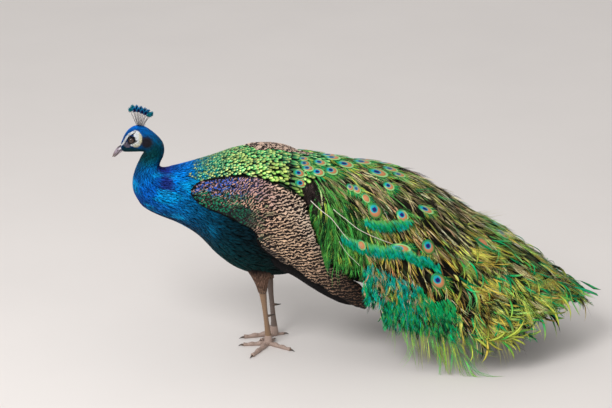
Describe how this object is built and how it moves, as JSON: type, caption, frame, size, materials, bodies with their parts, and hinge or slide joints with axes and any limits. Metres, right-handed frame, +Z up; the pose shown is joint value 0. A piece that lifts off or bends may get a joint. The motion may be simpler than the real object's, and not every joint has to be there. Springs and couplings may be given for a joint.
{
  "type": "peacock",
  "caption": "Life-size still model of a standing male Indian peafowl with a folded, drooping train, divided at the parts a person would name.",
  "frame": {"origin": "middle of the bottom of the bird's bounding box, on the floor it stands on", "axes": "+Z up; the bird faces -X; its left side is -Y"},
  "size_m": [1.0966, 0.388, 0.5684],
  "materials": {
    "blue_plumage": "satin",
    "mantle_plumage": "satin",
    "rump_down": "matte",
    "wing_plumage": "matte",
    "flight_feathers": "satin",
    "train_plumage": "satin",
    "tail_feathers": "matte",
    "crest_plumage": "satin",
    "thigh_plumage": "matte",
    "leg_scales": "satin",
    "bill_horn": "satin",
    "claw_horn": "satin",
    "eye": "gloss"
  },
  "bodies": {
    "root": {"breast": "blue_plumage", "claw_left_1": "claw_horn", "claw_left_2": "claw_horn", "claw_left_3": "claw_horn", "claw_left_4": "claw_horn", "claw_right_1": "claw_horn", "claw_right_2": "claw_horn", "claw_right_3": "claw_horn", "claw_right_4": "claw_horn", "crest": "crest_plumage", "eye_left": "eye", "eye_right": "eye", "flight_left": "flight_feathers", "flight_right": "flight_feathers", "foot_left": "leg_scales", "foot_right": "leg_scales", "head": "blue_plumage", "lower_bill": "bill_horn", "neck_lower": "blue_plumage", "neck_upper": "blue_plumage", "rump": "rump_down", "shank_left": "leg_scales", "shank_right": "leg_scales", "spur_left": "claw_horn", "spur_right": "claw_horn", "tail": "tail_feathers", "thigh_left": "thigh_plumage", "thigh_right": "thigh_plumage", "train_left_fore": "train_plumage", "train_left_mid": "train_plumage", "train_left_rear": "train_plumage", "train_ridge_fore": "train_plumage", "train_ridge_mid": "train_plumage", "train_ridge_rear": "train_plumage", "train_right_fore": "train_plumage", "train_right_mid": "train_plumage", "train_right_rear": "train_plumage", "trunk": "mantle_plumage", "upper_bill": "bill_horn", "wing_left": "wing_plumage", "wing_right": "wing_plumage"}
  },
  "joints": []
}
